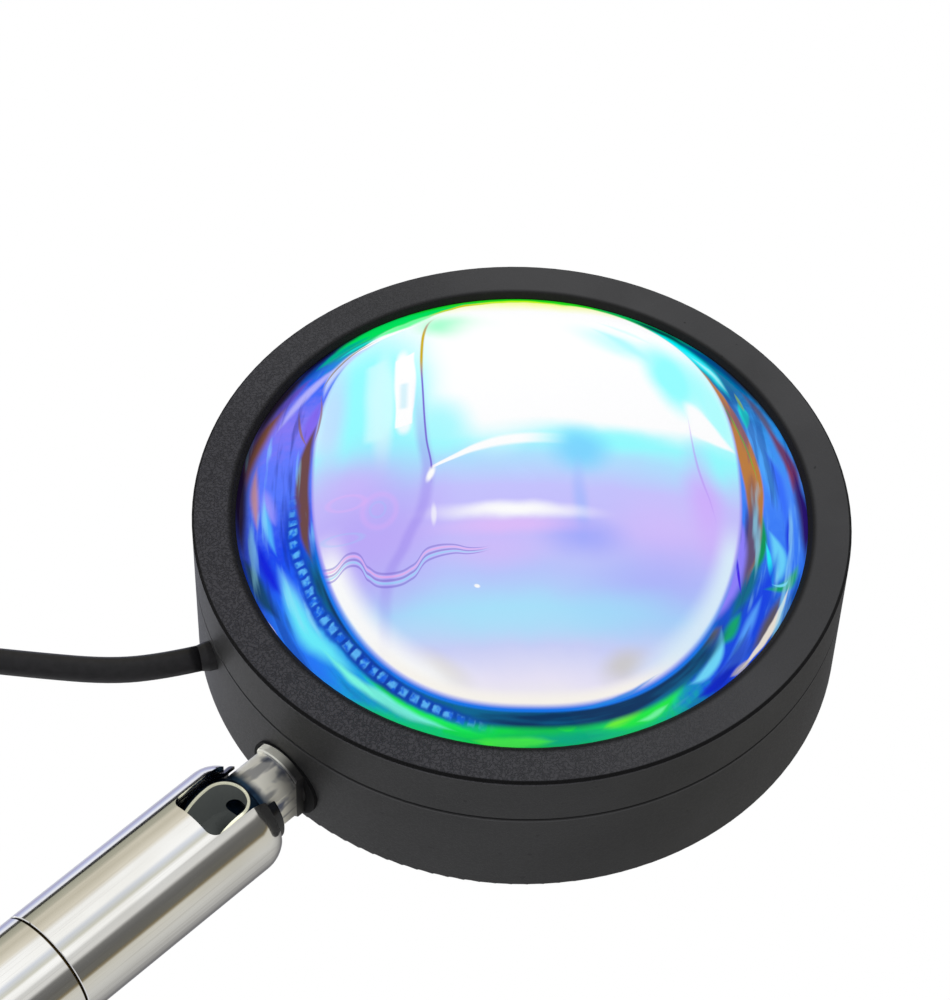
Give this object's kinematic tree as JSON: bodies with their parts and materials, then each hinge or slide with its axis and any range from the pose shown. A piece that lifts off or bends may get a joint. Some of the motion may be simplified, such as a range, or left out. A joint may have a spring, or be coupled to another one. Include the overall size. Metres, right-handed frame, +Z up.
{
  "type": "sunset projection lamp",
  "caption": "Table lamp with a drum-shaped head and a dome lens, on a slotted ball swivel, a plated stem and a weighted round base, with a thin lead.",
  "frame": {"origin": "middle of the underside of the base, on the surface that the lamp stands on", "axes": "+Z up along the stem; the beam leaves towards -Y at rest; +X is across the head"},
  "size_m": [0.1694, 0.1025, 0.2802],
  "materials": {
    "housing": "matte",
    "chrome": "polished",
    "ball": "satin",
    "nylon": "satin",
    "saddle_rubber": "matte",
    "lens_glass": "polished",
    "dichroic": "polished",
    "ring_plastic": "gloss",
    "chamber_white": "satin",
    "board": "satin",
    "phosphor": "gloss",
    "steel": "satin",
    "brass": "satin",
    "washer_white": "satin",
    "base_paint": "matte",
    "iron": "matte",
    "pad": "matte",
    "lead": "matte",
    "tie": "satin",
    "plug_steel": "satin",
    "plug_plastic": "satin"
  },
  "bodies": {
    "stand": {"base_pad": "pad", "base_weight": "iron", "base_cover": "base_paint", "base_washer": "steel", "base_bolt": "steel", "stem_insert": "steel", "stem_foot": "chrome", "stem_tube": "chrome", "tube_bushing": "brass", "turn_stop_pin": "steel"},
    "swivel": {"swivel_plug": "brass", "spindle_washer": "washer_white", "spindle_clip": "steel", "disc_springs": "steel", "ball_seat_cup": "nylon", "swivel_shell": "chrome", "ball_liner": "nylon", "cable_run": "lead", "cable_coil": "lead", "cable_tail": "lead", "plug_body": "lead", "plug_shell": "plug_steel", "plug_tongue": "plug_plastic", "plug_contacts": "brass"},
    "head": {"swivel_ball": "ball", "neck_washer": "saddle_rubber", "rear_housing": "housing", "front_bezel": "housing", "dome_lens": "lens_glass", "lens_gasket": "saddle_rubber", "dichroic_filter": "dichroic", "retaining_ring": "ring_plastic", "light_chamber": "chamber_white", "led_board": "board", "led_emitter": "phosphor", "board_screws": "steel", "cable_grommet": "lead", "cable_stop": "tie", "inner_lead": "lead"}
  },
  "joints": [
    {"name": "swivel_turn", "type": "hinge", "parent": "stand", "child": "swivel", "pos_m": [0, 0, 0.1506], "axis": [0, 0, 1], "range_deg": [-165, 165]},
    {"name": "head_tilt", "type": "hinge", "parent": "swivel", "child": "head", "pos_m": [0, 0, 0.1809], "axis": [1, 0, 0], "range_deg": [0, 90], "deforming": ["cable_run"]}
  ]
}
